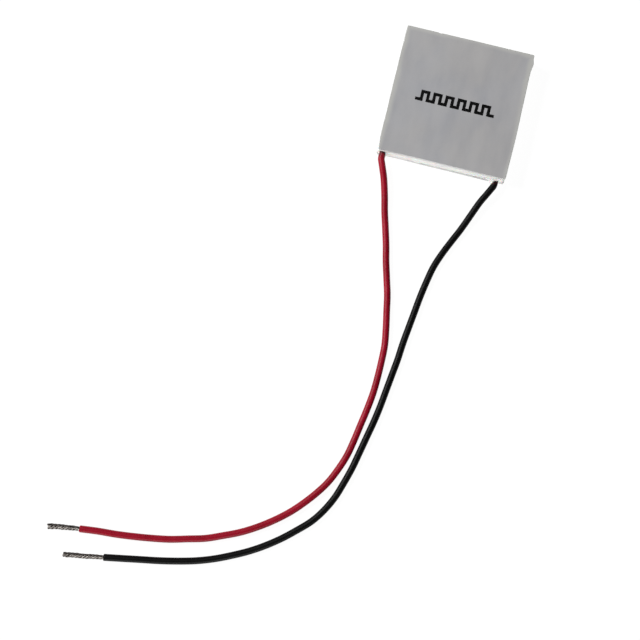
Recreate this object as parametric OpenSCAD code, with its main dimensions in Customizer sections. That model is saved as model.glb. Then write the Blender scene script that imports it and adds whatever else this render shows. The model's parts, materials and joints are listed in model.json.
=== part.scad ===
// Thermoelectric cooling module. Two ceramic plates hold a grid of
// semiconductor legs, which copper tabs join in series along one path that
// folds back and forth between the plates. The path starts and ends at two
// solder pads on the hot plate, where a red and a black lead come in, and a
// ring of cured sealant closes the gap between the plates.
//
// Millimetres, +Z up. The origin is the centre of the hot face, on which the
// module lies. The cold face is on top, and the leads leave at the -Y edge.

/* [Plates] */
// Width of both ceramic plates, along X
plate_width = 20; // [19:0.5:30]
// Length of both ceramic plates, along Y
plate_length = 20; // [19:0.5:30]
// Thickness of the hot plate, at the bottom
hot_plate_thickness = 0.75; // [0.5:0.05:1.2]
// Thickness of the cold plate, on top
cold_plate_thickness = 0.75; // [0.5:0.05:1.2]
// Size of the chamfer at each plate corner
corner_cut = 0.15; // [0.05:0.05:0.3]
// How far the broken-off nib stands out of the cold plate's right edge
nib_reach = 0.2; // [0.05:0.05:0.3]
// Length of the nib along the edge
nib_length = 1.9; // [1:0.1:3]
// Distance from the back right corner to the nib
nib_inset = 0.8; // [0.5:0.1:2]

/* [Copper tabs] */
// Thickness of the copper tabs
tab_thickness = 0.3; // [0.25:0.05:0.4]
// Gap between neighbouring tabs
tab_gap = 0.4; // [0.3:0.05:0.5]
// Bare ceramic between the outer tabs and the plate's edge
tab_margin = 0.2; // [0.15:0.05:0.3]
// Radius of a tab's corners
tab_corner = 0.2; // [0.1:0.05:0.4]

/* [Legs] */
// Side of a leg's square section
leg_side = 1.4; // [1:0.05:1.6]
// Height of a leg
leg_height = 1.3; // [1:0.05:2]
// Thickness of the solder under and over a leg
solder_thickness = 0.05; // [0.03:0.01:0.08]
// How far that solder spreads past each side of the leg
solder_spread = 0.05; // [0.02:0.01:0.1]

/* [Leads] */
// Diameter of the bare stranded conductor
conductor_diameter = 0.6; // [0.4:0.02:0.7]
// Wall of the insulation round the conductor
insulation_wall = 0.22; // [0.15:0.01:0.26]
// Distance of the red lead from the plates' left edge
red_inset = 0.95; // [0.85:0.05:1.4]
// Distance of the black lead from the plates' right edge
black_inset = 1.4; // [0.85:0.05:1.5]
// Stripped length at the red lead's free end
red_strip = 4.8; // [3:0.1:8]
// Stripped length at the black lead's free end
black_strip = 6.2; // [3:0.1:8]
// Stripped length that is soldered down on a pad
joint_length = 1.8; // [1:0.1:2]
// Thickness of the solder over the conductor on its pad
joint_solder_cover = 0.15; // [0.05:0.05:0.25]

/* [Sealant] */
// How far the sealant's outer face dips in between the plates
sealant_dip = 0.15; // [0.05:0.05:0.2]
// How far the collars round the leads stand out of the edge
collar_reach = 0.75; // [0.5:0.05:0.9]
// Radius of the red lead's collar at the edge
red_collar_radius = 1; // [0.85:0.05:1.2]
// Distance of the red collar's centre from its lead, towards +X
red_collar_shift = 0.4; // [0:0.05:0.45]
// Radius of the black lead's collar at the edge
black_collar_radius = 1.15; // [0.85:0.05:1.2]
// Distance of the black collar's centre from its lead, towards +X
black_collar_shift = -0.15; // [-0.45:0.05:0]

/* [Hidden] */
// The grid of cells. Each column of cells has nodes of its own.
columns = 8;
rows = 8;
cells = columns * rows;

$fn = 32;
CERAMIC = [0.65, 0.66, 0.66];
COPPER = [0.72, 0.45, 0.30];
N_TYPE = [0.36, 0.37, 0.40];
P_TYPE = [0.46, 0.46, 0.47];
SOLDER = [0.74, 0.75, 0.76];
TINNED = [0.55, 0.53, 0.50];
SILICONE = [0.90, 0.90, 0.88];
RED_PVC = [0.60, 0.06, 0.14];
BLACK_PVC = [0.06, 0.06, 0.07];

// A pair of tabs and the gap between them set the grid's pitch.
cell_width = (plate_width - 2 * tab_margin - (columns - 1) * tab_gap) / columns;
cell_length = (plate_length - 2 * tab_margin - (rows - 1) * tab_gap) / rows;
column_pitch = cell_width + tab_gap;
row_pitch = cell_length + tab_gap;

// Levels of the stack, from the hot face up.
hot_tab_base = hot_plate_thickness;
hot_tab_top = hot_tab_base + tab_thickness;
leg_base = hot_tab_top + solder_thickness;
leg_top = leg_base + leg_height;
cold_tab_base = leg_top + solder_thickness;
cold_plate_base = cold_tab_base + tab_thickness;
module_height = cold_plate_base + cold_plate_thickness;
gap_height = cold_plate_base - hot_tab_base;

front_edge = -plate_length / 2;
// The insulation stops at the front of the pads, and the bare end goes on.
pad_front = front_edge + tab_margin;
conductor_radius = conductor_diameter / 2;
lead_radius = conductor_radius + insulation_wall;
lead_level = hot_tab_top + solder_thickness + conductor_radius;
red_x = red_inset - plate_width / 2;
black_x = plate_width / 2 - black_inset;
joint_radius = conductor_radius + joint_solder_cover;

// Routes of the leads from the pads to the stripped ends. Each point has its
// X, its Y, and its height over the table as a share of the height at the pad.
RED_ROUTE = [
    [-9.05, -9.8, 1], [-9.05, -10.8, 1], [-8.8, -11.5, 0.98],
    [-8.4, -12.5, 0.89], [-7.9, -13.8, 0.7], [-7.2, -16.2, 0.39],
    [-6.6, -18.6, 0.14], [-5.9, -21, 0], [-5.2, -23.5, 0],
    [-4.6, -26, 0], [-3.9, -28.5, 0], [-3.2, -31, 0],
    [-2.7, -33.5, 0], [-2.2, -36, 0], [-1.8, -38.5, 0],
    [-1.7, -41, 0], [-1.7, -43.5, 0], [-1.8, -46, 0],
    [-2.1, -48.5, 0], [-2.5, -51, 0], [-2.9, -53.5, 0],
    [-3.4, -56, 0], [-4.2, -58.3, 0], [-5.2, -60.5, 0],
    [-6.5, -62.5, 0], [-8.1, -64.5, 0], [-9.8, -66.3, 0],
    [-11.8, -68, 0], [-13.9, -69.5, 0], [-16.1, -70.8, 0],
    [-18.5, -71.9, 0], [-20.9, -72.9, 0], [-23.4, -73.6, 0],
    [-26, -74.3, 0], [-28.7, -74.8, 0], [-31.4, -75.2, 0],
    [-34, -75.5, 0], [-36.7, -75.7, 0], [-39.3, -76, 0]
];
BLACK_ROUTE = [
    [8.6, -9.8, 1], [8.6, -10.8, 1], [8.3, -11.5, 0.98],
    [7.8, -12.5, 0.89], [7.1, -13.9, 0.7], [6.2, -16.2, 0.39],
    [5.3, -18.5, 0.14], [4.3, -20.7, 0], [3.4, -22.8, 0],
    [2.6, -25.1, 0], [2.1, -27.5, 0], [1.7, -30, 0],
    [1.4, -32.5, 0], [1.1, -35, 0], [0.8, -37.6, 0],
    [0.6, -40.2, 0], [0.3, -42.7, 0], [0, -45.2, 0],
    [-0.3, -47.7, 0], [-0.7, -50.2, 0], [-1.2, -52.7, 0],
    [-1.7, -55.2, 0], [-2.2, -57.6, 0], [-2.9, -60.1, 0],
    [-3.7, -62.5, 0], [-4.8, -64.7, 0], [-6.2, -66.7, 0],
    [-8, -68.5, 0], [-9.9, -70.2, 0], [-12, -71.8, 0],
    [-14.2, -73.2, 0], [-16.5, -74.4, 0], [-18.9, -75.5, 0],
    [-21.4, -76.4, 0], [-24, -77.1, 0], [-26.7, -77.7, 0],
    [-29.4, -78.2, 0], [-32.1, -78.7, 0], [-34.8, -79.2, 0]
];
// Share of the nib's length that lies behind its tip.
nib_rise = 0.4;
// Sides of a lead's swept tube.
lead_sides = 8;

// ---- The electrical path through the grid ----

// The path goes up one column of cells and down the next. Its first cell and
// its last one are the pads for the leads, and every other cell has a leg.
function cell_column(k) = floor(k / rows);
function cell_row(k) =
    cell_column(k) % 2 == 0 ? k % rows : rows - 1 - k % rows;
function cell_centre(k) = [
    (cell_column(k) - (columns - 1) / 2) * column_pitch,
    (cell_row(k) - (rows - 1) / 2) * row_pitch
];

// Cells of one column, counted from 1, that hold the legs of one type. A leg
// in an odd cell is N-type and one in an even cell is P-type.
function leg_cells(column, parity) = [
    for (k = [1:cells - 2])
        if (cell_column(k) == column - 1 && k % 2 == parity) k
];

module rounded_tab(size) {
    inner = size - 2 * [tab_corner, tab_corner];
    translate([tab_corner, 0]) square([inner.x, size.y]);
    translate([0, tab_corner]) square([size.x, inner.y]);
    for (x = [tab_corner, tab_corner + inner.x])
        for (y = [tab_corner, tab_corner + inner.y])
            translate([x, y]) circle(r = tab_corner);
}

// A copper tab that covers two neighbouring cells of the path.
module tab(k, base) {
    a = cell_centre(k);
    b = cell_centre(k + 1);
    cell = [cell_width, cell_length];
    low = [min(a.x, b.x), min(a.y, b.y)] - cell / 2;
    high = [max(a.x, b.x), max(a.y, b.y)] + cell / 2;
    translate([low.x, low.y, base])
        linear_extrude(tab_thickness)
            rounded_tab(high - low);
}

// Hot tabs start at the even cells and cold tabs at the odd ones.
module tabs(column, parity, base) {
    for (k = [parity:2:cells - 2])
        if (cell_column(k) == column - 1)
            tab(k, base);
}

module hot_tabs(column) { color(COPPER) tabs(column, 0, hot_tab_base); }

module cold_tabs(column) { color(COPPER) tabs(column, 1, cold_tab_base); }

// A square block centred on a cell.
module cell_block(k, side, height, base) {
    centre = cell_centre(k);
    translate([centre.x - side / 2, centre.y - side / 2, base])
        cube([side, side, height]);
}

module legs(column, parity) {
    for (k = leg_cells(column, parity))
        cell_block(k, leg_side, leg_height, leg_base);
}

module n_legs(column) { color(N_TYPE) legs(column, 1); }

module p_legs(column) { color(P_TYPE) legs(column, 0); }

module leg_solder(base) {
    for (k = [1:cells - 2])
        cell_block(k, leg_side + 2 * solder_spread, solder_thickness, base);
}

module hot_solder() { color(SOLDER) leg_solder(hot_tab_top); }

module cold_solder() { color(SOLDER) leg_solder(leg_top); }

// ---- The ceramic plates ----

// Outline of a plate, anticlockwise from its front left corner. More points
// may be put on its right edge.
module plate_outline(right_edge = []) {
    x = plate_width / 2;
    y = plate_length / 2;
    polygon(concat(
        [[corner_cut - x, -y], [x - corner_cut, -y], [x, corner_cut - y]],
        right_edge,
        [[x, y - corner_cut], [x - corner_cut, y], [corner_cut - x, y]],
        [[-x, y - corner_cut], [-x, corner_cut - y]]
    ));
}

// Where the scribed sheet was snapped, a low nib is left near one corner.
function nib() =
    let (
        edge = plate_width / 2,
        start = plate_length / 2 - nib_inset
    )
    [
        [edge, start - nib_length],
        [edge + nib_reach, start - nib_rise * nib_length],
        [edge, start]
    ];

module hot_plate() {
    color(CERAMIC)
        linear_extrude(hot_plate_thickness) plate_outline();
}

module cold_plate() {
    color(CERAMIC)
        translate([0, 0, cold_plate_base])
            linear_extrude(cold_plate_thickness) plate_outline(nib());
}

// ---- The leads ----

// Axis of a lead: its route, with the stretch that is off the table lifted
// and moved to where the lead leaves its pad.
function lead_path(route, x) =
    let (
        exit = [x, pad_front, lead_level],
        start = [route[0].x, route[0].y, lead_radius]
    )
    [for (p = route) [p.x, p.y, lead_radius] + p.z * (exit - start)];

function unit(v) = v / norm(v);
function last(list) = list[len(list) - 1];

// Direction of a path at one point: the mean of the stretches that meet.
function heading(path, i) =
    let (n = len(path) - 1)
    i == 0 ? unit(path[1] - path[0])
    : i == n ? unit(path[n] - path[n - 1])
    : unit(unit(path[i] - path[i - 1]) + unit(path[i + 1] - path[i]));

// One ring of the tube round a point of the path.
function ring(path, i, radius, sides) =
    let (
        along = heading(path, i),
        across = unit([-along.y, along.x, 0]),
        upward = cross(along, across)
    )
    [for (s = [0:sides - 1])
        let (angle = 360 * s / sides)
        path[i] + radius * (cos(angle) * across + sin(angle) * upward)];

// The two triangles of the tube's wall that start at side s of ring i.
function wall(i, s, sides) =
    let (
        a = i * sides + s,
        b = i * sides + (s + 1) % sides
    )
    [[a, b, b + sides], [a, b + sides, a + sides]];

module tube(path, radius, sides) {
    rings = len(path);
    points = [for (i = [0:rings - 1]) each ring(path, i, radius, sides)];
    walls = [for (i = [0:rings - 2]) for (s = [0:sides - 1])
        each wall(i, s, sides)];
    first = [for (s = [sides - 1:-1:0]) s];
    end = [for (s = [0:sides - 1]) (rings - 1) * sides + s];
    polyhedron(points, concat([first], walls, [end]));
}

module lead(route, x) {
    tube(lead_path(route, x), lead_radius, lead_sides);
}

// The conductor that is stripped at the lead's free end.
module bare_end(route, x, strip) {
    path = lead_path(route, x);
    along = last(path) - path[len(path) - 2];
    translate(last(path))
        rotate([0, 90, atan2(along.y, along.x)])
            cylinder(h = strip, r = conductor_radius);
}

module red_lead() { color(RED_PVC) lead(RED_ROUTE, red_x); }

module black_lead() { color(BLACK_PVC) lead(BLACK_ROUTE, black_x); }

module red_bare_end() {
    color(TINNED) bare_end(RED_ROUTE, red_x, red_strip);
}

module black_bare_end() {
    color(TINNED) bare_end(BLACK_ROUTE, black_x, black_strip);
}

// ---- The solder joints of the leads ----

// The other end of the conductor, which lies along a pad.
module joint_wire(x) {
    translate([x, pad_front, lead_level])
        rotate([-90, 0, 0])
            cylinder(h = joint_length, r = conductor_radius);
}

// Section of the solder: round over the conductor, straight down to the pad.
module joint_section() {
    width = 2 * joint_radius;
    translate([-joint_radius, hot_tab_top])
        square([width, lead_level - hot_tab_top]);
    translate([0, lead_level])
        intersection() {
            circle(r = joint_radius);
            translate([-joint_radius, 0]) square([width, joint_radius]);
        }
}

// The whole outside of a joint, with its inner end rounded.
module joint_form(x) {
    translate([x, pad_front + joint_length, 0]) {
        rotate([90, 0, 0])
            linear_extrude(joint_length) joint_section();
        rotate_extrude(angle = 180)
            intersection() {
                joint_section();
                square([joint_radius, module_height]);
            }
    }
}

module joint_solder(x) {
    difference() {
        joint_form(x);
        joint_wire(x);
    }
}

module red_joint_wire() { color(TINNED) joint_wire(red_x); }

module black_joint_wire() { color(TINNED) joint_wire(black_x); }

module red_joint_solder() { color(SOLDER) joint_solder(red_x); }

module black_joint_solder() { color(SOLDER) joint_solder(black_x); }

// ---- The sealant ----

// A centred block between the plates. Its inset is how far it stays from the
// side edges, and from the front and back ones.
module inner_block(inset, base, top) {
    size = [plate_width, plate_length] - 2 * inset;
    translate([-size.x / 2, -size.y / 2, base])
        cube([size.x, size.y, top - base]);
}

// What the sealant leaves free: the tabs, and the legs between them.
module inner_space() {
    to_tabs = [tab_margin, tab_margin];
    to_legs = to_tabs + [cell_width - leg_side, cell_length - leg_side] / 2;
    inner_block(to_tabs, hot_tab_base, leg_base);
    inner_block(to_legs, hot_tab_base, cold_plate_base);
    inner_block(to_tabs, leg_top, cold_plate_base);
}

// Four long rollers that hollow the ring's outer faces.
module rollers() {
    half_gap = gap_height / 2;
    radius = (half_gap ^ 2 + sealant_dip ^ 2) / (2 * sealant_dip);
    out = radius - sealant_dip;
    length = 2 * (plate_width + plate_length);
    translate([0, 0, hot_tab_base + half_gap]) {
        for (side = [-1, 1]) {
            translate([side * (plate_width / 2 + out), 0, 0])
                rotate([90, 0, 0])
                    cylinder(h = length, r = radius, center = true);
            translate([0, side * (plate_length / 2 + out), 0])
                rotate([0, 90, 0])
                    cylinder(h = length, r = radius, center = true);
        }
    }
}

// A collar is a ball cap on the front edge, rooted in the ring behind it.
module collar(x, radius) {
    ball = (radius ^ 2 + collar_reach ^ 2) / (2 * collar_reach);
    root = tab_margin / 2;
    width = 2 * radius;
    intersection() {
        translate([x, front_edge + ball - collar_reach, lead_level])
            sphere(r = ball);
        union() {
            translate([x - radius, front_edge - collar_reach, 0])
                cube([width, collar_reach, module_height]);
            translate([x - radius, front_edge - root, hot_tab_base])
                cube([width, 2 * root, gap_height]);
        }
    }
}

// The way in for a lead: its insulation as far as the pad, then its joint.
module lead_passage(x) {
    translate([x, pad_front, lead_level])
        rotate([90, 0, 0])
            cylinder(h = tab_margin + 2 * collar_reach, r = lead_radius);
    joint_form(x);
}

module edge_sealant() {
    color(SILICONE)
        difference() {
            union() {
                difference() {
                    translate([0, 0, hot_tab_base])
                        linear_extrude(gap_height) plate_outline();
                    rollers();
                }
                collar(red_x + red_collar_shift, red_collar_radius);
                collar(black_x + black_collar_shift, black_collar_radius);
            }
            inner_space();
            lead_passage(red_x);
            lead_passage(black_x);
        }
}

hot_plate();
cold_plate();
edge_sealant();
for (c = [1:columns]) {
    hot_tabs(c);
    cold_tabs(c);
    n_legs(c);
    p_legs(c);
}
hot_solder();
cold_solder();
red_joint_wire();
red_joint_solder();
red_lead();
red_bare_end();
black_joint_wire();
black_joint_solder();
black_lead();
black_bare_end();
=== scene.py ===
"""Looks of a thermoelectric cooling module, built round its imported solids.

Lengths are in millimetres up to the point where Blender gets them, in metres.
X runs along the module's front edge, where the leads leave, Y from that edge
to the back one, and Z from the hot face to the cold face.
"""

import json
import math
import random

import bpy
from mathutils import Matrix, Vector, noise


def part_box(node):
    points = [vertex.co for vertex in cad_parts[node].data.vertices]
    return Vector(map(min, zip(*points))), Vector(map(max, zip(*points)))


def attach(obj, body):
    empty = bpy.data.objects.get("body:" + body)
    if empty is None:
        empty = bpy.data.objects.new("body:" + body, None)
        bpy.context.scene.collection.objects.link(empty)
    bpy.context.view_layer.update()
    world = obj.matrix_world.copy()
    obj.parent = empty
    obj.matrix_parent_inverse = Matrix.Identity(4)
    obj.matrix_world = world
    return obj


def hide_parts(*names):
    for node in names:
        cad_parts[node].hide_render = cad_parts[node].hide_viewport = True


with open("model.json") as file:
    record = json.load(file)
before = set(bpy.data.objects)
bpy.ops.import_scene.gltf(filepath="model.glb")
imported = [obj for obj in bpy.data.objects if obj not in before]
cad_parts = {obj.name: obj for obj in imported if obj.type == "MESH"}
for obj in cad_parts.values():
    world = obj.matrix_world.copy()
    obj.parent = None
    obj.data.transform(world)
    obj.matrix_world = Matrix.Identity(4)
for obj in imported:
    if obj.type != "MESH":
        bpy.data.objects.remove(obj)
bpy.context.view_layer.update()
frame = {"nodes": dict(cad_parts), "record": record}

MM = 0.001
UP = Vector((0, 0, 1))


def box_mm(node):
    """Lowest and highest corner of a CAD node, in millimetres."""
    low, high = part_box(node)
    return low / MM, high / MM


HOT_LOW, HOT_HIGH = box_mm("hot_plate")
COLD_LOW, COLD_HIGH = box_mm("cold_plate")
HALF = -COLD_LOW.x

# ---- Camera ----

# The camera looks at TARGET from a distance, turned about Z from the front,
# raised above the floor and rolled about its own axis.
LENS = 78.75
SENSOR = 36
AZIMUTH = math.radians(12.525)
ELEVATION = math.radians(83.021)
ROLL = math.radians(1.346)
DISTANCE = 212.365
TARGET = Vector((-12.219, -37.055, 0))
CLIP_START = 10


def add_camera():
    """The camera, which looks down on the module and its leads."""
    back = Vector((
        math.sin(AZIMUTH) * math.cos(ELEVATION),
        -math.cos(AZIMUTH) * math.cos(ELEVATION),
        math.sin(ELEVATION),
    ))
    level = UP.cross(back).normalized()
    right = Matrix.Rotation(ROLL, 3, back) @ level
    up = back.cross(right)
    camera = bpy.data.objects.new("camera", bpy.data.cameras.new("camera"))
    bpy.context.scene.collection.objects.link(camera)
    camera.data.lens = LENS
    camera.data.sensor_width = SENSOR
    camera.data.clip_start = CLIP_START * MM
    camera.matrix_world = Matrix.Translation((TARGET + back * DISTANCE) * MM) @ (
        Matrix((right, up, back)).transposed().to_4x4()
    )
    bpy.context.scene.camera = camera


# ---- Meshes ----


def new_piece(name, points, faces, material, sharp):
    """A smooth piece with edges where faces turn by over sharp degrees."""
    mesh = bpy.data.meshes.new(name)
    mesh.from_pydata([p * MM for p in points], [], faces)
    mesh.validate()
    mesh.shade_smooth()
    mesh.set_sharp_from_angle(angle=math.radians(sharp))
    mesh.materials.append(material)
    piece = bpy.data.objects.new(name, mesh)
    bpy.context.scene.collection.objects.link(piece)
    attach(piece, "root")
    return piece


def bridge(first, second, size, closed=True):
    """Quads between two rows of points, given by where each row starts."""
    count = size if closed else size - 1
    return [
        (first + i, first + (i + 1) % size, second + (i + 1) % size, second + i)
        for i in range(count)
    ]


def smooth_step(value, low, high):
    """0 below low, 1 above high, and an easy turn between them."""
    t = max(0.0, min(1.0, (value - low) / (high - low)))
    return t * t * (3 - 2 * t)


def wander(s, seed, wavelength):
    """A smooth random value from about -1 to 1 at place s along a line."""
    return noise.noise(Vector((s / wavelength, seed * 7.31, seed * 3.17)))


# ---- Routes of the leads ----

# As the solids have them: X, Y, and the height as a share of that at the pad.
RED_ROUTE = [
    (-9.05, -9.8, 1), (-9.05, -10.8, 1), (-8.8, -11.5, 0.98),
    (-8.4, -12.5, 0.89), (-7.9, -13.8, 0.7), (-7.2, -16.2, 0.39),
    (-6.6, -18.6, 0.14), (-5.9, -21, 0), (-5.2, -23.5, 0),
    (-4.6, -26, 0), (-3.9, -28.5, 0), (-3.2, -31, 0),
    (-2.7, -33.5, 0), (-2.2, -36, 0), (-1.8, -38.5, 0),
    (-1.7, -41, 0), (-1.7, -43.5, 0), (-1.8, -46, 0),
    (-2.1, -48.5, 0), (-2.5, -51, 0), (-2.9, -53.5, 0),
    (-3.4, -56, 0), (-4.2, -58.3, 0), (-5.2, -60.5, 0),
    (-6.5, -62.5, 0), (-8.1, -64.5, 0), (-9.8, -66.3, 0),
    (-11.8, -68, 0), (-13.9, -69.5, 0), (-16.1, -70.8, 0),
    (-18.5, -71.9, 0), (-20.9, -72.9, 0), (-23.4, -73.6, 0),
    (-26, -74.3, 0), (-28.7, -74.8, 0), (-31.4, -75.2, 0),
    (-34, -75.5, 0), (-36.7, -75.7, 0), (-39.3, -76, 0),
]
BLACK_ROUTE = [
    (8.6, -9.8, 1), (8.6, -10.8, 1), (8.3, -11.5, 0.98),
    (7.8, -12.5, 0.89), (7.1, -13.9, 0.7), (6.2, -16.2, 0.39),
    (5.3, -18.5, 0.14), (4.3, -20.7, 0), (3.4, -22.8, 0),
    (2.6, -25.1, 0), (2.1, -27.5, 0), (1.7, -30, 0),
    (1.4, -32.5, 0), (1.1, -35, 0), (0.8, -37.6, 0),
    (0.6, -40.2, 0), (0.3, -42.7, 0), (0, -45.2, 0),
    (-0.3, -47.7, 0), (-0.7, -50.2, 0), (-1.2, -52.7, 0),
    (-1.7, -55.2, 0), (-2.2, -57.6, 0), (-2.9, -60.1, 0),
    (-3.7, -62.5, 0), (-4.8, -64.7, 0), (-6.2, -66.7, 0),
    (-8, -68.5, 0), (-9.9, -70.2, 0), (-12, -71.8, 0),
    (-14.2, -73.2, 0), (-16.5, -74.4, 0), (-18.9, -75.5, 0),
    (-21.4, -76.4, 0), (-24, -77.1, 0), (-26.7, -77.7, 0),
    (-29.4, -78.2, 0), (-32.1, -78.7, 0), (-34.8, -79.2, 0),
]
LEAD_RADIUS = 0.52
# Each lead starts on its pad, this high over the hot face.
PAD_HEIGHT = 0.88
RING_STEP = 0.25


def catmull_rom(a, b, c, d, t):
    """A point between b and c on the smooth curve through all four."""
    return 0.5 * (
        2 * b
        + (c - a) * t
        + (2 * a - 5 * b + 4 * c - d) * t * t
        + (3 * b - a - 3 * c + d) * t ** 3
    )


def lead_line(route):
    """Dense points on the smooth axis of a lead."""
    points = [Vector((x, y, share * PAD_HEIGHT + LEAD_RADIUS)) for x, y, share in route]
    ends = [2 * points[0] - points[1], *points, 2 * points[-1] - points[-2]]
    line = []
    for i in range(1, len(ends) - 2):
        length = (ends[i + 1] - ends[i]).length
        steps = max(1, round(length / RING_STEP))
        line += [catmull_rom(*ends[i - 1:i + 3], k / steps) for k in range(steps)]
    return [*line, points[-1]]


def directions(line):
    """The direction of a line at each of its points."""
    last = len(line) - 1
    return [
        (line[min(i + 1, last)] - line[max(i - 1, 0)]).normalized()
        for i in range(len(line))
    ]


def cross_axes(along):
    """The level and the upward axis of a section at right angles to along."""
    across = Vector((-along.y, along.x, 0)).normalized()
    return across, along.cross(across)


def ring(centre, along, radii):
    """Points round a centre, one for each radius."""
    across, upward = cross_axes(along)
    return [
        centre
        + radius
        * (
            math.cos(math.tau * i / len(radii)) * across
            + math.sin(math.tau * i / len(radii)) * upward
        )
        for i, radius in enumerate(radii)
    ]


def tube(rings):
    """Points and faces of a closed tube through rings of equal size."""
    size = len(rings[0])
    points = [p for points_of_ring in rings for p in points_of_ring]
    faces = [tuple(reversed(range(size)))]
    for i in range(len(rings) - 1):
        faces += bridge(i * size, (i + 1) * size, size)
    faces.append(tuple(range(len(points) - size, len(points))))
    return points, faces


# ---- Leads ----

# The insulation: its sides, the share by which its radius wavers, and its cut
# end, which is rounded and uneven round the bore that the strands come out of.
LEAD_SIDES = 28
LEAD_UNEVENNESS = 0.012
CUT_ROUNDING = 0.07
CUT_UNEVENNESS = 0.06
BORE_RADIUS = 0.33
BORE_DEPTH = 0.6


def insulation_rings(line, seed):
    """Rings of the insulation, down to the bore at its stripped end."""
    headings = directions(line)
    rings = []
    for i, (centre, along) in enumerate(zip(line, headings)):
        radii = [
            LEAD_RADIUS
            * (1 + LEAD_UNEVENNESS * noise.noise(Vector((i / 14, side / 9, seed))))
            for side in range(LEAD_SIDES)
        ]
        rings.append(ring(centre, along, radii))
    end, along = line[-1], headings[-1]
    # Over the rounded cut into the bore: the share of its rounding that a ring
    # lies forward, and its radius.
    profile = [
        (0.35, LEAD_RADIUS - 0.3 * CUT_ROUNDING),
        (0.8, LEAD_RADIUS - 0.6 * CUT_ROUNDING),
        (1.0, LEAD_RADIUS - 1.2 * CUT_ROUNDING),
        (0.7, BORE_RADIUS + 0.04),
        (0.0, BORE_RADIUS),
    ]
    for forward, radius in profile:
        section = ring(end, along, [radius] * LEAD_SIDES)
        rings.append([
            p + along * (
                forward * CUT_ROUNDING
                + CUT_UNEVENNESS * noise.noise(Vector((side / 5, seed, 0)))
            )
            for side, p in enumerate(section)
        ])
    rings.append(ring(end - BORE_DEPTH * along, along, [BORE_RADIUS] * LEAD_SIDES))
    return rings


def add_lead(colour, route, seed):
    """A lead's insulation, a tube along its route."""
    line = lead_line(route)
    points, faces = tube(insulation_rings(line, seed))
    piece = new_piece(
        f"{colour}_insulation", points, faces,
        MATERIALS[f"{colour}_insulation"], sharp=50,
    )
    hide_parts(f"{colour}_lead")


# ---- Stripped ends ----

# The strands start inside the bore. They are cut at unlike lengths, wind round
# once in a lay length, stray from that and come loose towards their tips.
STRANDS = 7
STRAND_RADIUS = 0.11
STRAND_SIDES = 12
STRAND_STEP = 0.08
STRAND_START = -0.5
STRAND_CUT_SPREAD = 0.3
STRAY_TURN = 0.35
LAY_LENGTH = 3.1
LOOSENESS = 0.35
LOOSE_FROM = 1.6
TIP_LENGTH = 0.02


def strand_rings(start, along, length, drift, spread, number, seed):
    """One strand: number 0 is the straight core, and the others wind round it."""
    across, upward = cross_axes(along)
    chance = random.Random(seed * 10 + number)
    cut = length - chance.uniform(0, STRAND_CUT_SPREAD)
    stray = chance.uniform(-STRAY_TURN, STRAY_TURN)
    looseness = LOOSENESS * chance.uniform(0.2, 1)
    steps = round((cut - STRAND_START) / STRAND_STEP)
    line = []
    for i in range(steps + 1):
        t = STRAND_START + (cut - STRAND_START) * i / steps
        share = max(0.0, t / length)
        centre = start + along * t + drift * share * share
        if number:
            turn = math.tau * ((number - 1) / (STRANDS - 1) - t / LAY_LENGTH)
            turn += stray * share ** 2
            loose = smooth_step(t, 0, LOOSE_FROM) * looseness
            reach = 2 * STRAND_RADIUS * (1 + loose + spread * share ** 2)
            centre += reach * (math.cos(turn) * across + math.sin(turn) * upward)
        line.append(centre)
    radii = [STRAND_RADIUS] * STRAND_SIDES
    rings = [ring(p, d, radii) for p, d in zip(line, directions(line))]
    tip = [0.8 * STRAND_RADIUS] * STRAND_SIDES
    rings.append(ring(line[-1] + TIP_LENGTH * along, along, tip))
    return rings


def add_strands(colour, route, length, drift, spread, seed):
    """The stripped conductor: tinned strands, twisted together and a bit frayed."""
    line = lead_line(route)
    start, along = line[-1], directions(line)[-1]
    points, faces = [], []
    for number in range(STRANDS):
        more_points, more_faces = tube(
            strand_rings(start, along, length, drift, spread, number, seed)
        )
        faces += [tuple(i + len(points) for i in face) for face in more_faces]
        points += more_points
    piece = new_piece(
        f"{colour}_strands", points, faces, MATERIALS["tinned_wire"],
        sharp=50,
    )
    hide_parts(f"{colour}_bare_end")
    return piece


# ---- Ceramic plates ----

# The edge has the marks of the scribe down to about a third of its height, and
# a rough fracture below. All of it wanders a little, and it is chipped.
EDGE_STEP = 0.08
CORNER_CUT = 0.15
SCRIBE_PITCH = 0.18
SCRIBE_DEPTH = 0.025
FRACTURE = 0.035
WAVE = 0.09
CHIPS = 46
CHIP_WIDTHS = (0.08, 0.3)
CHIP_DEPTHS = (0.02, 0.09)
CHIP_HEIGHT = 0.2

# The cold plate's front left corner is worn: how much, and how far round it.
WORN_DEPTH = 0.2
WORN_REACH = 1.8

# A nib was left on its right edge: where it starts and ends from the back edge,
# the lengths over which it rises and falls, and how far it stands out.
NIB_START = 0.75
NIB_END = 2.7
NIB_RISE = 0.7
NIB_FALL = 1.3
NIB_REACH = 0.2

# Down the edge of a plate from its scribed face: depth below that face, how
# far the edge stands back, and the shares of scribing and of fracture in it.
EDGE_PROFILE = [
    (0, 0.3, 0, 0),
    (0, 0.1, 0, 0),
    (0, 0.035, 0.3, 0),
    (0.012, 0.01, 0.8, 0),
    (0.05, 0, 1, 0),
    (0.13, 0, 1, 0),
    (0.21, 0.005, 0.9, 0.1),
    (0.28, 0, 0.4, 0.7),
    (0.36, 0, 0, 1),
    (0.45, 0, 0, 1),
    (0.54, 0, 0, 1),
    (0.63, 0, 0, 1),
    (0.71, 0.01, 0, 0.8),
    (0.74, 0.025, 0, 0.4),
    (0.75, 0.06, 0, 0),
    (0.75, 0.3, 0, 0),
]


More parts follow.
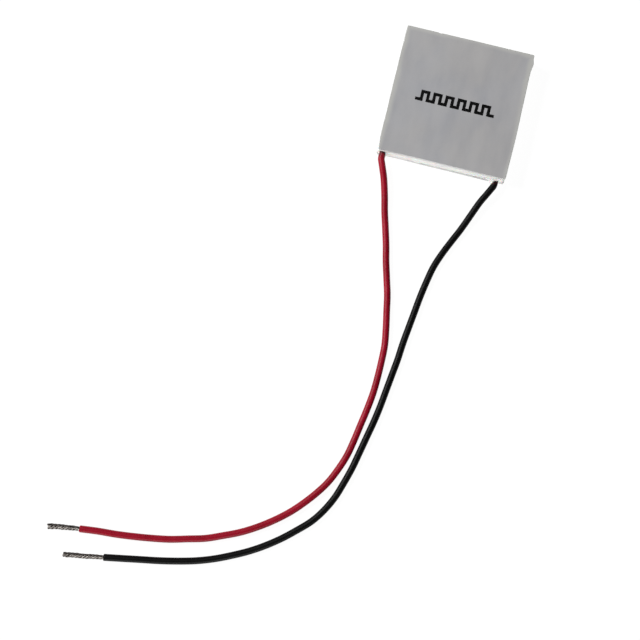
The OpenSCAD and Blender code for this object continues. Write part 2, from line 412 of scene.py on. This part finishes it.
def outline():
    """Points round a plate's nominal outline, with their outward directions."""
    inner = HALF - CORNER_CUT
    corners = [
        (-inner, -HALF), (inner, -HALF), (HALF, -inner), (HALF, inner),
        (inner, HALF), (-inner, HALF), (-HALF, inner), (-HALF, -inner),
    ]
    found = []
    for (ax, ay), (bx, by) in zip(corners, corners[1:] + corners[:1]):
        a, b = Vector((ax, ay, 0)), Vector((bx, by, 0))
        steps = max(2, round((b - a).length / EDGE_STEP))
        outward = (b - a).cross(UP).normalized()
        found += [(a.lerp(b, i / steps), outward) for i in range(steps)]
    return found


def chip_depths(places, seed):
    """How deep the edge is chipped at each place round a plate."""
    chance = random.Random(seed)
    chips = [
        (chance.uniform(0, places * EDGE_STEP), chance.uniform(*CHIP_WIDTHS),
         chance.uniform(*CHIP_DEPTHS) * chance.random())
        for _ in range(CHIPS)
    ]
    return [
        max(
            (depth * math.sqrt(max(0, 1 - ((i * EDGE_STEP - s) / width) ** 2)))
            for s, width, depth in chips
        )
        for i in range(places)
    ]


def worn_corner(point):
    """The shift along X where the cold plate's front left corner is worn back."""
    away = (point - Vector((-HALF, -HALF, 0))).length
    return Vector((WORN_DEPTH * math.exp(-((away / WORN_REACH) ** 2)), 0, 0))


def nib_reach(point):
    """How far the nib stands out near the back right corner of the cold plate."""
    along = HALF - point.y
    if point.x < HALF - 0.01:
        return 0
    rise = min((along - NIB_START) / NIB_RISE, (NIB_END - along) / NIB_FALL)
    return NIB_REACH * max(0, min(1, rise)) * (0.9 + 0.2 * wander(along, 5, 0.2))


def add_plate(name, node, scribed_face, far_face, seed, marred=False):
    """A scribed and snapped ceramic plate; a marred one is worn and has the nib."""
    places = outline()
    chips = chip_depths(len(places), seed)
    towards = 1 if far_face > scribed_face else -1
    points, faces = [], []
    for depth, back, scribe, fracture in EDGE_PROFILE:
        chipped = max(0, 1 - depth / CHIP_HEIGHT)
        for i, (place, outward) in enumerate(places):
            s = i * EDGE_STEP
            x = WAVE * wander(s, seed, 5.3) - chipped * chips[i]
            x -= scribe * SCRIBE_DEPTH * (0.5 + 0.5 * math.cos(math.tau * s / SCRIBE_PITCH))
            x += fracture * FRACTURE * (
                noise.noise(Vector((s / 0.35, depth / 0.2, seed)))
                + 0.5 * noise.noise(Vector((s / 0.12, depth / 0.08, seed)))
            )
            shift = Vector((0, 0, scribed_face + towards * depth))
            if marred:
                x += nib_reach(place)
                shift += worn_corner(place)
            x *= 1 - back / EDGE_PROFILE[0][1]
            points.append(place * (1 - back / HALF) + outward * x + shift)
    size = len(places)
    count = len(points)
    points += [Vector((0, 0, scribed_face)), Vector((0, 0, far_face))]
    for start in range(0, count - size, size):
        faces += bridge(start, start + size, size)
    faces += [((i + 1) % size, i, count) for i in range(size)]
    far = count - size
    faces += [(far + i, far + (i + 1) % size, count + 1) for i in range(size)]
    faces = [face[::towards] for face in faces]
    piece = new_piece(name, points, faces, MATERIALS["ceramic"], sharp=35)
    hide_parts(node)


# ---- Sealant ----

# The ring laps over the plates' edges and reaches in between them. It dips
# between the plates, is smeared on their edges and tucks in where it thins out.
SEAL_STEP = 0.07
SEAL_ROWS = 30
SEAL_LAP = 0.3
SEAL_DEPTH = 0.5
SEAL_CORNER = 0.4
SEAL_TURNS = 10
SEAL_DIP = 0.14
SEAL_SET_BACK = 0.03
SEAL_SMEAR = 0.16
SEAL_TUCK = 0.12
LEAD_LEVEL = PAD_HEIGHT + LEAD_RADIUS

# Fillets of sealant round the leads: the lead's X, then how far the sealant
# climbs along the lead and how far it runs out from it, each on the lead's
# left, on its right, over it and under it.
FILLETS = [
    (RED_ROUTE[0][0], (0, 0.55, -0.6, 0.3), (0.15, 0.35, 0.4, 0.3)),
    (BLACK_ROUTE[0][0], (1.1, 0.1, 0.32, 0.5), (0.42, 0.25, 0.3, 0.3)),
]
# A lump of sealant that was wiped off at the front right corner.
LUMP = Vector((9.55, 0, 2.35))
LUMP_REACH = 0.24
LUMP_SIZE = 0.28


def blend_sides(values, dx, dz):
    """A value between those on the left, right, upper and lower side."""
    left, right, above, below = values
    aside = left if dx < 0 else right
    upright = above if dz > 0 else below
    return (dx * dx * aside + dz * dz * upright) / (dx * dx + dz * dz)


def fillet(x, z):
    """How far the sealant stands out of the front edge near the leads."""
    reach = 0
    for lead_x, climbs, runs in FILLETS:
        dx, dz = x - lead_x, z - LEAD_LEVEL
        away = max(0.01, math.hypot(dx, dz))
        climb = blend_sides(climbs, dx + 0.001, dz)
        run = blend_sides(runs, dx + 0.001, dz)
        reach += climb * math.exp(-max(0, away - 0.9 * LEAD_RADIUS) / run)
    from_lump = math.hypot(x - LUMP.x, z - LUMP.z) / LUMP_SIZE
    return reach + LUMP_REACH * math.exp(-from_lump ** 2)


def seal_line():
    """Points and outward directions round the sealant, with round corners."""
    inner = HALF - SEAL_CORNER
    found = []
    sides = [((0, -1), (1, 0)), ((1, 0), (0, 1)), ((0, 1), (-1, 0)), ((-1, 0), (0, -1))]
    for (nx, ny), (tx, ty) in sides:
        outward, along = Vector((nx, ny, 0)), Vector((tx, ty, 0))
        steps = round(2 * inner / SEAL_STEP)
        found += [
            (outward * HALF + along * inner * (2 * i / steps - 1), outward)
            for i in range(steps)
        ]
        centre = (outward + along) * inner
        for i in range(SEAL_TURNS):
            turn = math.pi / 2 * i / SEAL_TURNS
            spoke = math.cos(turn) * outward + math.sin(turn) * along
            found.append((centre + SEAL_CORNER * spoke, spoke))
    return found


def seal_reach(place, outward, s, z):
    """How far the sealant stands out of the plates' nominal edge."""
    low, high = HOT_HIGH.z, COLD_LOW.z
    u = (z - low) / (high - low)
    dip = SEAL_DIP * (1 + 0.8 * wander(s, 11, 2.4) + 0.35 * wander(s, 12, 0.8))
    if 0 <= u <= 1:
        reach = -SEAL_SET_BACK - dip * 4 * u * (1 - u)
        reach += 0.02 * noise.noise(Vector((s / 0.5, z / 0.4, 2)))
    else:
        lap = min(abs(u), abs(u - 1)) * (high - low) / SEAL_LAP
        smear = SEAL_SMEAR * (wander(s, 13, 1.9) + 0.4 * wander(s, 14, 0.5) - 0.12)
        reach = smear * (1 - lap) - SEAL_TUCK * lap - SEAL_SET_BACK
    if outward.y < -0.9:
        reach += fillet(place.x, z) * (1 + 0.15 * noise.noise(Vector((s / 0.4, z / 0.4, 5))))
    return reach


def add_sealant():
    """The ring of sealant between the plates, as a hand spread it."""
    places = seal_line()
    low, high = HOT_HIGH.z - SEAL_LAP, COLD_LOW.z + SEAL_LAP
    points = []
    for row in range(SEAL_ROWS + 1):
        z = low + (high - low) * row / SEAL_ROWS
        for i, (place, outward) in enumerate(places):
            reach = seal_reach(place, outward, i * SEAL_STEP, z)
            points.append(place + outward * reach + Vector((0, 0, z)))
    for z in (high, low):
        points += [p - outward * SEAL_DEPTH + Vector((0, 0, z)) for p, outward in places]
    size = len(places)
    rows = SEAL_ROWS + 3
    faces = []
    for row in range(rows):
        faces += bridge(row * size, (row + 1) % rows * size, size)
    piece = new_piece(
        "sealant_bead", points, faces, MATERIALS["sealant"], sharp=60
    )
    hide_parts("edge_sealant")


# ---- The mark on the cold face ----

# The ink reaches a little into the ceramic, and stands a little over it.
MARK_LENGTH = 12.3
MARK_HEIGHT = 1.75
MARK_STROKE = 0.48
MARK_PULSES = 6
MARK_STEP = 0.06
MARK_CENTRE = Vector((-0.1, -0.3, 0))
MARK_UNEVENNESS = 0.014
INK_ABOVE = 0.006
INK_BELOW = 0.01


def wave_corners():
    """Corners of a square wave, like the folded path of the current."""
    pitch = MARK_LENGTH / (2 * MARK_PULSES + 1)
    high = (MARK_HEIGHT - MARK_STROKE) / 2
    level = -high
    x = -MARK_LENGTH / 2
    corners = [Vector((x, level, 0))]
    for _ in range(2 * MARK_PULSES):
        x += pitch
        corners += [Vector((x, level, 0)), Vector((x, -level, 0))]
        level = -level
    return [*corners, Vector((x + pitch, level, 0))]


def stroke_sides(corners):
    """Points along the left and the right side of a stroke with square turns."""
    left, right = [], []
    half = MARK_STROKE / 2
    for i, (a, b) in enumerate(zip(corners, corners[1:])):
        along = (b - a).normalized()
        aside = UP.cross(along)
        before = (a - corners[i - 1]).normalized() if i else along
        turn = aside if i == 0 else aside + UP.cross(before)
        left.append(a + half * turn)
        right.append(a - half * turn)
        length = (b - a).length
        steps = round((length - 2 * half) / MARK_STEP)
        for k in range(1, steps):
            centre = a + along * (half + (length - 2 * half) * k / steps)
            left_bleed = MARK_UNEVENNESS * noise.noise(centre * 5)
            right_bleed = MARK_UNEVENNESS * noise.noise(centre * 5 + UP)
            left.append(centre + aside * (half + left_bleed))
            right.append(centre - aside * (half + right_bleed))
    left.append(b + half * aside)
    right.append(b - half * aside)
    return left, right


def add_mark():
    """A plain printed line where such modules carry their print.

    It has a material of its own, as the record has no slot for ink.
    """
    left, right = stroke_sides(wave_corners())
    size = len(left)
    points = []
    for height in (COLD_HIGH.z + INK_ABOVE, COLD_HIGH.z - INK_BELOW):
        origin = MARK_CENTRE + Vector((0, 0, height))
        points += [origin + p for p in left + right]
    rows = [0, size, 3 * size, 2 * size]
    faces = []
    for first, second in zip(rows, rows[1:] + rows[:1]):
        faces += bridge(second, first, size, closed=False)
    faces += [tuple(rows), tuple(row + size - 1 for row in reversed(rows))]
    new_piece("printed_mark", points, faces, MATERIALS["ink"], sharp=30)


# ---- Materials ----

# Where a Mix node for colours has its factor and its two colours.
MIX_INPUTS = (0, 6, 7)
MIX_OUTPUT = 2


def feed(tree, socket, value):
    """Gives an input its value, or links it to another node's socket."""
    if isinstance(value, bpy.types.NodeSocket):
        tree.links.new(value, socket)
    else:
        socket.default_value = value


def add_node(tree, kind, inputs=None, **settings):
    """A shader node with its settings, and inputs that are values or sockets."""
    node = tree.nodes.new(kind)
    for name, value in settings.items():
        setattr(node, name, value)
    for name, value in (inputs or {}).items():
        feed(tree, node.inputs[name], value)
    return node


def new_material(name, **values):
    """A material, its node tree and its shader with plain values set."""
    material = bpy.data.materials.new(name)
    material.use_nodes = True
    tree = material.node_tree
    shader = tree.nodes["Principled BSDF"]
    for key, value in values.items():
        shader.inputs[key.replace("_", " ")].default_value = value
    return material, tree, shader


def place_socket(tree, stretch=(1, 1, 1)):
    """Place on the piece in millimetres, each axis shortened by its stretch."""
    place = add_node(tree, "ShaderNodeTexCoord").outputs["Object"]
    scale = tuple(1 / (MM * s) for s in stretch)
    return add_node(
        tree, "ShaderNodeMapping", {"Vector": place, "Scale": scale}
    ).outputs["Vector"]


def noise_socket(tree, vector, size, detail=3, roughness=0.5):
    """Soft noise whose lumps are about size millimetres wide."""
    return add_node(tree, "ShaderNodeTexNoise", {
        "Vector": vector, "Scale": 1 / size, "Detail": detail, "Roughness": roughness,
    }).outputs["Fac"]


def ramp_socket(tree, factor, *stops):
    """Colour that follows a factor through stops of (place, colour)."""
    node = add_node(tree, "ShaderNodeValToRGB", {"Fac": factor})
    elements = node.color_ramp.elements
    while len(elements) < len(stops):
        elements.new(0.5)
    for element, (place, colour) in zip(elements, stops):
        element.position = place
        element.color = (*colour, 1)
    return node.outputs["Color"]


def range_socket(tree, value, low, high, to_low=0.0, to_high=1.0, smooth=False):
    """A value mapped from one range to another, and clamped."""
    return add_node(
        tree, "ShaderNodeMapRange",
        {"Value": value, "From Min": low, "From Max": high,
         "To Min": to_low, "To Max": to_high},
        interpolation_type="SMOOTHSTEP" if smooth else "LINEAR",
    ).outputs["Result"]


def math_socket(tree, operation, a, b=0.0):
    """The result of a sum on one or two values."""
    return add_node(
        tree, "ShaderNodeMath", {0: a, 1: b}, operation=operation
    ).outputs["Value"]


def mix_socket(tree, factor, a, b, blend="MIX"):
    """The socket a and the socket or colour b, mixed by a factor."""
    colour = b if isinstance(b, bpy.types.NodeSocket) else (*b, 1)
    inputs = dict(zip(MIX_INPUTS, (factor, a, colour)))
    node = add_node(tree, "ShaderNodeMix", inputs, data_type="RGBA", blend_type=blend)
    return node.outputs[MIX_OUTPUT]


def add_bump(tree, shader, height, depth):
    """Relief of so many millimetres from a height between 0 and 1."""
    bump = add_node(tree, "ShaderNodeBump", {
        "Height": height, "Strength": 1.0, "Distance": depth * MM,
    })
    tree.links.new(bump.outputs["Normal"], shader.inputs["Normal"])


def rim_socket(tree, place, patches):
    """1 at the left, right and back edges, fading unevenly in about a millimetre."""
    parts = add_node(tree, "ShaderNodeSeparateXYZ", {"Vector": place})
    from_middle = math_socket(tree, "ABSOLUTE", parts.outputs["X"])
    side = math_socket(tree, "SUBTRACT", HALF, from_middle)
    back = math_socket(tree, "SUBTRACT", HALF, parts.outputs["Y"])
    edge = math_socket(tree, "MINIMUM", side, back)
    wobble = math_socket(tree, "MULTIPLY", math_socket(tree, "SUBTRACT", patches, 0.5), 1.6)
    return range_socket(
        tree, math_socket(tree, "ADD", edge, wobble), 0.95, 0.15, smooth=True
    )


def standing_socket(tree):
    """1 on faces that stand upright, 0 on those that lie level."""
    normal = add_node(tree, "ShaderNodeTexCoord").outputs["Normal"]
    facing = add_node(tree, "ShaderNodeSeparateXYZ", {"Vector": normal})
    upward = math_socket(tree, "ABSOLUTE", facing.outputs["Z"])
    return range_socket(tree, upward, 0.6, 0.2)


def ceramic_material():
    """Grey as-fired alumina: cloudy along Y, paler near and on its snapped edges."""
    material, tree, shader = new_material("ceramic", Specular_IOR_Level=0.35)
    place = place_socket(tree)
    clouds = noise_socket(tree, place_socket(tree, (1, 2.6, 1)), 2.6, detail=4)
    patches = noise_socket(tree, place, 6.5, detail=2)
    grain = noise_socket(tree, place, 0.09, detail=2)
    colour = ramp_socket(
        tree, clouds,
        (0.3, (0.405, 0.405, 0.422)),
        (0.5, (0.44, 0.437, 0.448)),
        (0.72, (0.463, 0.459, 0.467)),
    )
    tint = ramp_socket(
        tree, patches, (0.35, (0.975, 0.985, 1.0)), (0.65, (1.02, 1.01, 0.99))
    )
    colour = mix_socket(tree, 1.0, colour, tint, "MULTIPLY")
    speckle = ramp_socket(tree, grain, (0.3, (0.965,) * 3), (0.7, (1.035,) * 3))
    colour = mix_socket(tree, 1.0, colour, speckle, "MULTIPLY")
    rim = rim_socket(tree, place, patches)
    colour = mix_socket(tree, rim, colour, (0.53, 0.53, 0.508))
    colour = mix_socket(tree, standing_socket(tree), colour, (0.66, 0.66, 0.645))
    tree.links.new(colour, shader.inputs["Base Color"])
    tree.links.new(
        range_socket(tree, clouds, 0.3, 0.7, 0.58, 0.72), shader.inputs["Roughness"]
    )
    add_bump(tree, shader, grain, 0.006)
    return material


def sealant_material():
    """White silicone, satin, with dust in places."""
    material, tree, shader = new_material(
        "sealant", Specular_IOR_Level=0.4, Subsurface_Weight=0.2, Subsurface_Scale=0.4 * MM,
    )
    place = place_socket(tree)
    dust = noise_socket(tree, place, 0.9, detail=5, roughness=0.65)
    colour = ramp_socket(
        tree, dust,
        (0.3, (0.74, 0.73, 0.68)), (0.5, (0.86, 0.86, 0.83)), (0.7, (0.9, 0.9, 0.88)),
    )
    tree.links.new(colour, shader.inputs["Base Color"])
    tree.links.new(range_socket(tree, dust, 0.3, 0.7, 0.55, 0.35), shader.inputs["Roughness"])
    add_bump(tree, shader, noise_socket(tree, place, 0.35, detail=3), 0.03)
    return material


def insulation_material(name, deep, mid, pale, roughness, shine):
    """Soft insulation with a faint cast, a fine grain and painted shade near where it goes in
    under the plates.
    """
    material, tree, shader = new_material(name, Specular_IOR_Level=shine)
    place = place_socket(tree)
    cast = noise_socket(tree, place, 3.5, detail=4, roughness=0.6)
    colour = ramp_socket(tree, cast, (0.3, deep), (0.5, mid), (0.72, pale))
    parts = add_node(tree, "ShaderNodeSeparateXYZ", {"Vector": place})
    # Painted shade: the lead's colour darkens over about the last millimetre before it goes
    # in under the plates, where their edge shades it. Noise makes the edge of this shade
    # uneven.
    shade_wobble = math_socket(tree, "MULTIPLY", noise_socket(tree, place, 0.5), 0.9)
    along = math_socket(tree, "ADD", parts.outputs["Y"], shade_wobble)
    exit_shade = range_socket(tree, along, -HALF - 0.4, -HALF + 0.5)
    colour = mix_socket(tree, exit_shade, colour, (0.035, 0.004, 0.005))
    tree.links.new(colour, shader.inputs["Base Color"])
    grain = noise_socket(tree, place, 0.16, detail=3)
    tree.links.new(
        range_socket(tree, grain, 0.3, 0.7, roughness - 0.06, roughness + 0.08),
        shader.inputs["Roughness"],
    )
    add_bump(tree, shader, grain, 0.008)
    return material


def metal_material(name, dark, light, roughness, size, depth):
    """Metal with patches that dull or brighten it."""
    material, tree, shader = new_material(name, Metallic=1.0)
    place = place_socket(tree)
    patches = noise_socket(tree, place, size, detail=4, roughness=0.6)
    colour = ramp_socket(tree, patches, (0.32, dark), (0.68, light))
    tree.links.new(colour, shader.inputs["Base Color"])
    tree.links.new(
        range_socket(tree, patches, 0.3, 0.7, roughness + 0.12, roughness - 0.06),
        shader.inputs["Roughness"],
    )
    add_bump(tree, shader, noise_socket(tree, place, size / 4, detail=3), depth)
    return material


def ink_material():
    """Black printing ink, thin enough to show the ceramic's grain."""
    material, tree, shader = new_material("ink", Specular_IOR_Level=0.08)
    place = place_socket(tree)
    cover = noise_socket(tree, place, 0.12, detail=4, roughness=0.7)
    colour = ramp_socket(
        tree, cover, (0.3, (0.012,) * 3), (0.5, (0.003,) * 3), (0.8, (0.002,) * 3)
    )
    tree.links.new(colour, shader.inputs["Base Color"])
    tree.links.new(range_socket(tree, cover, 0.3, 0.7, 0.7, 0.5), shader.inputs["Roughness"])
    return material


# For each insulation: its deep, middle and pale colour, its roughness and its
# specular level.
INSULATIONS = {
    "red_insulation": (
        (0.25, 0.001, 0.011), (0.31, 0.002, 0.016), (0.35, 0.004, 0.023), 0.42, 0.2
    ),
    "black_insulation": ((0.0015,) * 3, (0.0025,) * 3, (0.004,) * 3, 0.45, 0.13),
}
# For each metal: its dark and its light colour, its roughness, how wide its
# patches are and how deep its relief is.
METALS = {
    "tinned_wire": ((0.09, 0.078, 0.07), (0.3, 0.28, 0.26), 0.42, 0.35, 0.01),
    "solder": ((0.5, 0.5, 0.51), (0.72, 0.73, 0.74), 0.3, 0.6, 0.01),
    "copper_tab": ((0.62, 0.27, 0.16), (0.83, 0.45, 0.3), 0.35, 0.8, 0.004),
    "n_type_leg": ((0.16, 0.165, 0.18), (0.3, 0.31, 0.33), 0.5, 0.3, 0.01),
    "p_type_leg": ((0.24, 0.24, 0.245), (0.4, 0.4, 0.41), 0.5, 0.3, 0.01),
}
MATERIALS = {
    "ceramic": ceramic_material(),
    "sealant": sealant_material(),
    "ink": ink_material(),
    **{name: insulation_material(name, *finish) for name, finish in INSULATIONS.items()},
    **{name: metal_material(name, *finish) for name, finish in METALS.items()},
}


def dress_inner_nodes():
    """Gives the solids that no piece replaces the finish of their slot."""
    slots = {s["node"]: s["material_slot"] for s in frame["record"]["subparts"]}
    for name, node in frame["nodes"].items():
        material = MATERIALS[slots[name]]
        if not node.material_slots:
            node.data.materials.append(material)
        for slot in node.material_slots:
            slot.link = "OBJECT"
            slot.material = material


# ---- Stage ----

# The floor lies a hair below the module, and glows so that it is white. The
# surround's strengths are those at the level and overhead.
FLOOR_SIZE = 6000
FLOOR_DROP = 0.01
LEVEL_STRENGTH = 0.6
OVERHEAD_STRENGTH = 0.04


def add_floor():
    """A plain white floor under the module."""
    half = FLOOR_SIZE / 2
    corners = [(-half, -half), (half, -half), (half, half), (-half, half)]
    points = [Vector((x, y, -FLOOR_DROP)) * MM for x, y in corners]
    mesh = bpy.data.meshes.new("floor")
    mesh.from_pydata(points, [], [(0, 1, 2, 3)])
    floor = bpy.data.objects.new("floor", mesh)
    bpy.context.scene.collection.objects.link(floor)
    material, _, _ = new_material(
        "floor", Base_Color=(0.1, 0.1, 0.1, 1), Roughness=0.9, Specular_IOR_Level=0.0,
        Emission_Color=(1, 1, 1, 1), Emission_Strength=0.96,
    )
    mesh.materials.append(material)


def add_light(name, place, size, power):
    """A soft square light at a place seen from the target, which it faces."""
    light = bpy.data.lights.new(name, "AREA")
    light.size = size * MM
    light.energy = power
    lamp = bpy.data.objects.new(name, light)
    bpy.context.scene.collection.objects.link(lamp)
    lamp.location = (TARGET + Vector(place)) * MM
    lamp.rotation_mode = "QUATERNION"
    lamp.rotation_quaternion = (-Vector(place)).to_track_quat("-Z", "Y")


def add_surround():
    """A studio's walls and ceiling: pale at the level, dark overhead."""
    world = bpy.data.worlds.new("surround")
    world.use_nodes = True
    tree = world.node_tree
    direction = add_node(tree, "ShaderNodeTexCoord").outputs["Generated"]
    parts = add_node(tree, "ShaderNodeSeparateXYZ", {"Vector": direction})
    strength = range_socket(
        tree, parts.outputs["Z"], 0.05, 0.7, LEVEL_STRENGTH, OVERHEAD_STRENGTH
    )
    background = tree.nodes["Background"]
    tree.links.new(strength, background.inputs["Strength"])
    bpy.context.scene.world = world


def add_stage():
    """Floor, lights and surround."""
    add_floor()
    add_light("key", place=(-420, 80, 380), size=220, power=3.5)
    add_light("fill", place=(100, -500, 130), size=400, power=2.2)
    add_surround()
    bpy.context.scene.view_settings.view_transform = "Standard"


# The strands come before their lead.
add_camera()
red_strands = add_strands(
    "red", RED_ROUTE, length=4.9, drift=Vector((0, -0.22, -0.1)), spread=0.3, seed=3
)
add_lead("red", RED_ROUTE, seed=1)
black_strands = add_strands(
    "black", BLACK_ROUTE, length=6.2, drift=Vector((0, 0.1, -0.12)), spread=0.15, seed=8
)
add_lead("black", BLACK_ROUTE, seed=2)
add_plate("cold_ceramic", "cold_plate", COLD_HIGH.z, COLD_LOW.z, seed=21, marred=True)
add_plate("hot_ceramic", "hot_plate", HOT_LOW.z, HOT_HIGH.z, seed=22)
add_sealant()
add_mark()
dress_inner_nodes()
add_stage()
